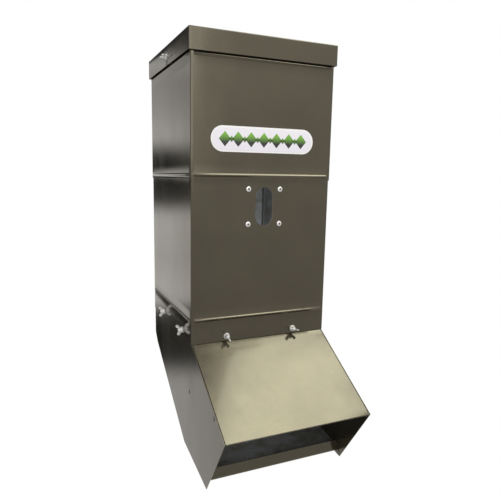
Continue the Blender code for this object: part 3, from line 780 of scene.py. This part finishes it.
def tray_path():
    """The tray's underside: rear lap, ramp, floor and lip."""
    lap_y = REAR_Y - 2 * (SHEET + GAP)
    slope = (Vector(BELLY) - Vector(HEEL)).normalized()
    heel = Vector(HEEL) + Vector((slope.y, -slope.x)) * RAMP_INSET
    ramp_top = heel + slope * (lap_y - heel.x) / slope.x
    fall = floor_height(1.0) - floor_height(0.0)
    foot = heel + slope * (floor_height(heel.x) - heel.y) / (slope.y - fall * slope.x)
    return [(lap_y, ramp_top.y + TRAY_LAP), tuple(ramp_top), tuple(foot),
            (LIP_Y, floor_height(LIP_Y)), (LIP_Y, LIP_TOP)]


def make_tray(paint, inside):
    """Ramp, floor and lip bent from one sheet, with end flanges, end tabs and a bare upper face."""
    path = tray_path()
    fine = dense(rounded_path(path, TRAY_BEND), 0.02)
    outline = thickened(fine, -SHEET)
    tray = prism("feed_tray_sheet", outline, stations(CROSS_HALF), "X", [paint, inside])
    paint_upper_faces(tray, len(fine), len(outline))
    front = LIP_Y + TRAY_BEND + 2 * SHEET
    back = path[2][0] - 2 * TRAY_BEND
    lift = SHEET / 2
    flange = [(y, floor_height(y) + above)
              for y, above in ((front, lift), (back, lift), (back, TRAY_FLANGE), (front, TRAY_FLANGE))]
    low = path[3][1] + TRAY_BEND + SHEET
    tab = [(LIP_Y + lift, low), (LIP_Y - LIP_TAB, low), (LIP_Y - LIP_TAB, LIP_TOP - SHEET),
           (LIP_Y + lift, LIP_TOP - SHEET)]
    for side in (-1, 1):
        faces = (side * CROSS_HALF, side * (CROSS_HALF - SHEET))
        combine(tray, prism("flange", flange, faces, "X", [paint, inside], True), "UNION")
        combine(tray, prism("tab", tab, faces, "X", [paint, inside]), "UNION")
    finish_mesh(tray)
    show(tray, "feeder", "bronze_paint", "feed_tray")


def paint_upper_faces(item, underside_count, outline_count):
    """Give the sheet's upper side its second material, by each face's place round the outline."""
    for polygon in item.data.polygons:
        places = [index % outline_count for index in polygon.vertices]
        if len(places) == 4 and min(places) >= underside_count:
            polygon.material_index = 1


def make_gate(paint):
    """Slotted plate with a grip bent forward along its lower edge."""
    front = gate_high.y - SHEET
    path = [(gate_low.y, gate_low.z), (front, gate_low.z), (front, gate_high.z)]
    outline = thickened(dense(rounded_path(path, BEND), 0.03), -SHEET)
    gate = prism("flow_gate_plate", outline, stations(gate_high.x), "X", [paint])
    slide = next(joint for joint in frame["joints"] if joint["name"] == "gate_slide")
    travel = slide["range_m"][1]
    for joint in nut_joints("gate_"):
        x, _, z = joint["pos_m"]
        slot = stadium(GATE_SLOT, travel + GATE_SLOT, 12)
        cut(gate, [(x + a, z - travel / 2 + b) for a, b in slot], "Y", front)
    finish_mesh(gate)
    show(gate, "flow_gate", "bronze_paint_inside", "flow_gate")


# ---- window, label and brackets ---------------------------------------------------------------

def make_pane(clear):
    """Clear pane with rounded corners."""
    low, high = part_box("window_pane")
    middle = (low + high) / 2
    corner = 0.006
    width = (high.x - low.x) / 2 - corner
    height = (high.z - low.z) / 2 - corner
    outline = []
    for turn, (a, b) in enumerate(((1, 1), (-1, 1), (-1, -1), (1, -1))):
        outline += arc((middle.x + a * width, middle.z + b * height), corner, 90 * turn, 90 * turn + 90, 8)
    pane = prism("window_pane_clear", outline, (low.y, high.y), "Y", [clear])
    finish_mesh(pane, 0.0003)
    show(pane, "feeder", "clear_pane", "window_pane")


def make_label():
    """White capsule label: rim, tinted field and a row of large and small diamonds."""
    low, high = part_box("label_plate")
    middle = (low + high) / 2
    width = high.x - low.x
    height = high.z - low.z
    rim_ink = film_material("label_rim_white", RIM_WHITE, RIM_SHADE, low.z, high.z)
    field_ink = film_material("label_field", FIELD_WHITE, FIELD_SHADE, low.z, high.z)
    face = low.y
    backing = capsule("label_backing", middle, width, height, face + 0.0003, high.y, rim_ink)
    show(backing, "feeder", "label_white", "label_plate")
    field = capsule("label_field_film", middle, width - 2 * LABEL_RIM, height - 2 * LABEL_RIM,
                    face + 0.0001, face + 0.0006, field_ink)
    show(field, "feeder", "label_white")
    leaf = film_material("label_leaf_ink", LEAF_GREEN, CHARCOAL, middle.z - 0.0060, middle.z + 0.0075)
    for index in range(DIAMONDS):
        x = middle.x + (index - (DIAMONDS - 1) / 2) * DIAMOND_PITCH
        z = middle.z
        tall, wide = LARGE_DIAMOND if index % 2 == 0 else SMALL_DIAMOND
        diamond = [(x, z + tall), (x - wide, z), (x, z - tall), (x + wide, z)]
        piece = prism(f"label_diamond_{index + 1}", diamond, (face, face + 0.0004), "Y", [leaf])
        finish_mesh(piece, 0.0001)
        show(piece, "feeder", "label_white")


def capsule(name, middle, width, height, front, back, material):
    """A flat plate with round ends, lying along X."""
    outline = [(middle.x + b, middle.z - a) for a, b in stadium(height, width)]
    piece = prism(name, outline, (front, back), "Y", [material])
    finish_mesh(piece, 0.0002)
    return piece


def make_bracket(word, paint):
    """Hat channel with a strap slot through both legs and two screw holes in its web."""
    node = f"{word}_tree_bracket"
    low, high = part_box(node)
    foot = low.y
    web = -BRACKET_SHEET
    path = [(-high.x, foot), (-WEB_HALF, foot), (-WEB_HALF, web), (WEB_HALF, web), (WEB_HALF, foot),
            (high.x, foot)]
    outline = thickened(rounded_path(path, BRACKET_BEND), BRACKET_SHEET)
    bracket = prism(f"{word}_bracket_channel", outline, (low.z, high.z), "Z", [paint])
    middle = (low.z + high.z) / 2
    slot = [(STRAP_Y + a, middle + b) for a, b in stadium(*STRAP_SLOT, 10)]
    for side in (-1, 1):
        cut(bracket, slot, "X", side * WEB_HALF)
    for side in (-1, 1):
        drill(bracket, (0, web / 2, middle + side * SCREW_OFFSET), (0, 1, 0), SCREW_HOLE)
    finish_mesh(bracket, 0.0004)
    show(bracket, "feeder", "bracket_paint", node)


# ---- fasteners --------------------------------------------------------------------------------

def seat(name, axis, place):
    """Where a fastener's box starts on the axis through a place, and how long it is."""
    low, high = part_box(name)
    ends = sorted((low.dot(axis), high.dot(axis)))
    return place + axis * (ends[0] - place.dot(axis)), ends[1] - ends[0]


def thread_profile(start, end):
    """A rolled thread drawn as close-set rings."""
    root = THREAD_RADIUS - THREAD_DEPTH
    profile = []
    z = start
    while z + THREAD_PITCH < end:
        profile += [(THREAD_RADIUS, z), (THREAD_RADIUS, z + THREAD_PITCH * 0.15),
                    (root, z + THREAD_PITCH * 0.55)]
        z += THREAD_PITCH
    return profile + [(THREAD_RADIUS, z), (THREAD_RADIUS - 0.0005, end)]


def make_bolt(name, joint, zinc):
    """Pan head with a dimple, plain shank and a threaded end."""
    axis = Vector(joint["axis"])
    foot, length = seat(name, axis, Vector(joint["pos_m"]))
    profile = [(0.0012, 0.0007), (0.0014, 0.0), (0.0036, 0.0), (0.0050, 0.0006), (BOLT_HEAD, 0.0014),
               (BOLT_HEAD, BOLT_HEAD_HEIGHT), (THREAD_RADIUS, BOLT_HEAD_HEIGHT)]
    profile += thread_profile(BOLT_HEAD_HEIGHT + PLAIN_SHANK, length)
    bolt = turned(name + "_turned", profile, False, [zinc], 32)
    finish_mesh(bolt, 0, ROUND_ANGLE)
    point_along(bolt, foot, axis)
    show(bolt, "feeder", "zinc", name)


def make_washer(name, joint, zinc):
    """Stamped washer with softened rims."""
    axis = Vector(joint["axis"])
    foot, top = seat(name, axis, Vector(joint["pos_m"]))
    rim = WASHER_RADIUS
    profile = [(BOLT_HOLE, 0.0), (rim - 0.0002, 0.0), (rim, 0.0002), (rim, top - 0.0003),
               (rim - 0.0003, top), (BOLT_HOLE + 0.0002, top), (BOLT_HOLE, top - 0.0002)]
    washer = turned(name + "_turned", profile, True, [zinc])
    finish_mesh(washer, 0, ROUND_ANGLE)
    point_along(washer, foot, axis)
    show(washer, "feeder", "zinc", name)


def wing_nut_mesh(zinc):
    """A cast wing nut: flanged hub and two rounded wings, melted together by a fine remesh."""
    hub = [(0.0050, 0.0), (0.0051, 0.0012), (0.0044, 0.0022), (0.0040, 0.0072), (0.0036, 0.0077)]
    nut = turned("nut", hub, False, [zinc], 40)
    wing = [(0.0045, 0.0012)] + arc((0.0085, 0.0085), 0.0033, -50, 140, 14) + [(0.0036, 0.0064)]
    outline = wing + [(-x, z) for x, z in wing[::-1]]
    faces = (-WING_HALF_THICKNESS, WING_HALF_THICKNESS)
    combine(nut, prism("wings", outline, faces, "Y", [zinc]), "UNION")
    bore = turned("bore", [(NUT_BORE, -0.001), (NUT_BORE, 0.013)], False, [zinc], 32)
    combine(nut, bore, "DIFFERENCE")
    remesh = nut.modifiers.new("cast", "REMESH")
    remesh.mode = "VOXEL"
    remesh.voxel_size = 0.0004
    soften = nut.modifiers.new("soften", "SMOOTH")
    soften.iterations = 3
    apply_modifiers(nut)
    nut.data.shade_smooth()
    mesh = nut.data
    bpy.data.objects.remove(nut, do_unlink=True)
    return mesh


def wing_spin(node, joint):
    """How far the frame's nut is turned about its bolt."""
    axis = Vector(joint["axis"])
    place = Vector(joint["pos_m"])
    turn = axis.to_track_quat("Z", "Y").inverted()
    far = max((turn @ (vertex.co - place) for vertex in node.data.vertices),
              key=lambda point: point.x ** 2 + point.y ** 2)
    return math.atan2(far.y, far.x)


def make_fastenings(zinc):
    """A bolt, a washer and a wing nut on each nut's axis."""
    mesh = wing_nut_mesh(zinc)
    for joint in nut_joints():
        base = joint["name"].removesuffix("_nut_spin")
        make_bolt(base + "_bolt", joint, zinc)
        make_washer(base + "_washer", joint, zinc)
        node = base + "_wing_nut"
        nut = bpy.data.objects.new(node + "_cast", mesh)
        bpy.context.collection.objects.link(nut)
        point_along(nut, joint["pos_m"], joint["axis"], wing_spin(frame["nodes"][node], joint))
        show(nut, node, "zinc", node)


def make_rivet(node, direction, zinc, steel):
    """Blind rivet: domed head with the hollow left by its mandrel, and a rounded bulb."""
    low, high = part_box(node)
    axis = Vector(direction)
    foot, length = seat(node, axis, (low + high) / 2)
    under_head = length - RIVET_HEAD_HEIGHT
    head = max((high - low).x, (high - low).y) / 2
    brim = under_head + 0.0004
    dome = [math.radians(angle) for angle in (15, 30, 45, 60)]
    profile = [(0.0026, 0.0), (0.0031, 0.0008), (0.0032, 0.0026), (RIVET_SHANK, 0.0027),
               (RIVET_SHANK, under_head), (head, under_head), (head, brim)]
    profile += [(head * math.cos(a), brim + 0.0012 * math.sin(a)) for a in dome]
    profile += [(0.0021, length - 0.0001), (0.0019, length - 0.0012), (0.0011, length - 0.0013),
                (0.0010, length - 0.0007), (0.0003, length - 0.0006)]
    rivet = turned(node + "_set", profile, False, [zinc, steel], 32)
    for polygon in rivet.data.polygons:
        if polygon.center.z > under_head and polygon.center.xy.length < RIVET_SHANK:
            polygon.material_index = 1
    finish_mesh(rivet, 0, ROUND_ANGLE)
    point_along(rivet, foot, axis)
    show(rivet, "feeder", "zinc", node)


def make_rivets(zinc, steel):
    """The rivets of the window and of the tree brackets."""
    for node in frame["nodes"]:
        if node.startswith("window_rivet"):
            make_rivet(node, (0, -1, 0), zinc, steel)
        elif "_bracket_rivet_" in node:
            make_rivet(node, (0, 1, 0), zinc, steel)


# ---- stage ------------------------------------------------------------------------------------

def tone_ramp(tree, height, tones):
    """A colour ramp over the direction's height, which runs from 0 straight down to 1 straight up."""
    ramp = tree.nodes.new("ShaderNodeValToRGB")
    ramp.color_ramp.elements[0].position = (tones[0][0] + 1) / 2
    ramp.color_ramp.elements[1].position = (tones[-1][0] + 1) / 2
    for level, _ in tones[1:-1]:
        ramp.color_ramp.elements.new((level + 1) / 2)
    for element, (_, tone) in zip(ramp.color_ramp.elements, tones):
        element.color = (*(tone * tint for tint in TONE_TINT), 1.0)
    tree.links.new(height, ramp.inputs["Fac"])
    return ramp.outputs["Color"]


def ranged(tree, value, low, high):
    """A value brought from the given range to 0 to 1."""
    spread = tree.nodes.new("ShaderNodeMapRange")
    spread.inputs["From Min"].default_value = low
    spread.inputs["From Max"].default_value = high
    tree.links.new(value, spread.inputs["Value"])
    return spread.outputs["Result"]


def make_world():
    """Studio surroundings with dark gaps behind the feeder, and plain white to the eye."""
    world = bpy.data.worlds.new("studio")
    bpy.context.scene.world = world
    world.use_nodes = True
    tree = world.node_tree
    tree.nodes.clear()
    place = tree.nodes.new("ShaderNodeTexCoord")
    split = tree.nodes.new("ShaderNodeSeparateXYZ")
    blend = tree.nodes.new("ShaderNodeMix")
    blend.data_type = "RGBA"
    glow = tree.nodes.new("ShaderNodeBackground")
    white = tree.nodes.new("ShaderNodeBackground")
    path = tree.nodes.new("ShaderNodeLightPath")
    mix = tree.nodes.new("ShaderNodeMixShader")
    output = tree.nodes.new("ShaderNodeOutputWorld")
    white.inputs["Color"].default_value = (1.0, 1.0, 1.0, 1.0)
    white.inputs["Strength"].default_value = 1.0
    link = tree.links.new
    link(place.outputs["Generated"], split.inputs["Vector"])
    height = ranged(tree, split.outputs["Z"], -1.0, 1.0)
    link(ranged(tree, split.outputs["Y"], -0.1, 0.3), blend.inputs[0])
    link(tone_ramp(tree, height, FRONT_TONES), blend.inputs[6])
    link(tone_ramp(tree, height, REAR_TONES), blend.inputs[7])
    link(blend.outputs[2], glow.inputs["Color"])
    link(path.outputs["Is Camera Ray"], mix.inputs["Fac"])
    link(glow.outputs["Background"], mix.inputs[1])
    link(white.outputs["Background"], mix.inputs[2])
    link(mix.outputs["Shader"], output.inputs["Surface"])


def make_floor():
    """A pale round floor, well below the hanging feeder."""
    nodes = Nodes("pale_floor")
    tone = nodes.blend(nodes.span(nodes.noise(1.2), 0.0, 1.0), FLOOR_SHADE, FLOOR_PALE)
    nodes.link(tone, nodes.shader.inputs["Base Color"])
    nodes.set(Roughness=0.8)
    z = cad_low[2] - FLOOR_DROP
    outline = arc((0.0, -0.2), FLOOR_RADIUS, 0, 354, 59)
    floor = prism("floor", outline, (z - 0.02, z), "Z", [nodes.material])


def add_light(name, place, aim, size, power, color=(1.0, 1.0, 1.0)):
    """A rectangular soft light, unseen by the camera."""
    light = bpy.data.lights.new(name, "AREA")
    light.shape = "RECTANGLE"
    light.size, light.size_y = size
    light.energy = power
    light.color = color
    item = bpy.data.objects.new(name, light)
    bpy.context.collection.objects.link(item)
    item.location = place
    item.rotation_euler = (Vector(aim) - Vector(place)).to_track_quat("-Z", "Y").to_euler()
    item.visible_camera = False
    return item


def make_lights():
    """A soft box that the hood mirrors, a fill in front, and a lamp inside, seen in no reflection."""
    add_light("overhead", place=(1.08, -0.92, 1.75), aim=(0.0, -0.45, -0.45), size=(1.60, 1.00),
              power=20.5, color=(0.97, 1.0, 0.88))
    add_light("front_fill", place=(-0.10, -3.2, 0.9), aim=(0.0, -0.3, -0.2), size=(1.9, 1.9), power=14.0)
    x = 0.125
    lamp = add_light("hopper_glow", place=(x, FRONT_Y + 0.045, LOWER_BOTTOM + 0.10),
                     aim=(x, REAR_Y, LOWER_BOTTOM + 0.30), size=(0.04, 0.12), power=0.58)
    lamp.visible_glossy = False


def make_camera():
    """Three-quarter view from the front left, level with the sections' joint and tipped down."""
    yaw, pitch, roll = (math.radians(angle) for angle in CAMERA_ANGLES)
    forward = math.cos(pitch)
    ahead = Vector((math.sin(yaw) * forward, math.cos(yaw) * forward, -math.sin(pitch)))
    level = Vector((math.cos(yaw), -math.sin(yaw), 0.0))
    upward = level.cross(ahead)
    right = level * math.cos(roll) + upward * math.sin(roll)
    top = upward * math.cos(roll) - level * math.sin(roll)
    turn = Matrix((right, top, -ahead)).transposed().to_4x4()
    camera = bpy.data.cameras.new("camera")
    camera.lens = CAMERA_LENS
    camera.shift_x, camera.shift_y = CAMERA_SHIFT
    camera.clip_start = 0.01
    item = bpy.data.objects.new("camera", camera)
    bpy.context.collection.objects.link(item)
    item.matrix_world = Matrix.Translation(CAMERA_PLACE) @ turn
    bpy.context.scene.camera = item


def main():
    """Build the whole scene."""
    bpy.context.scene.view_settings.view_transform = "Standard"
    paint = paint_material("bronze_paint_coat", BRONZE, roughness=0.17)
    # Darker, rougher copy of the bronze paint: painted shade on the seam in the inner corner; the gate and
    # brackets wear it too
    dark_paint_and_painted_shade = paint_material("bronze_paint_dark_and_painted_shade", SHADED_BRONZE, roughness=0.40, metallic=0.7, coat=0.15)
    inside = galvanised_material()
    zinc = bare_metal("bright_zinc", GREY_ZINC, PALE_ZINC, smooth=0.28, rough=0.42)
    steel = bare_metal("dark_mandrel_steel", DARK_STEEL, GREY_STEEL, smooth=0.40, rough=0.55)
    make_camera()
    make_lid(paint, inside)
    make_upper_section(paint, inside)
    make_lower_section(paint, inside, zinc)
    make_seam(dark_paint_and_painted_shade)
    for word, side in (("left", -1), ("right", 1)):
        make_cheek(word, side, paint, inside)
    make_hood(paint)
    make_back_panel(paint)
    make_tray(paint, inside)
    make_gate(dark_paint_and_painted_shade)
    make_pane(pane_material())
    make_label()
    for word in ("upper", "lower"):
        make_bracket(word, dark_paint_and_painted_shade)
    make_fastenings(zinc)
    make_rivets(zinc, steel)
    make_world()
    make_floor()
    make_lights()


main()
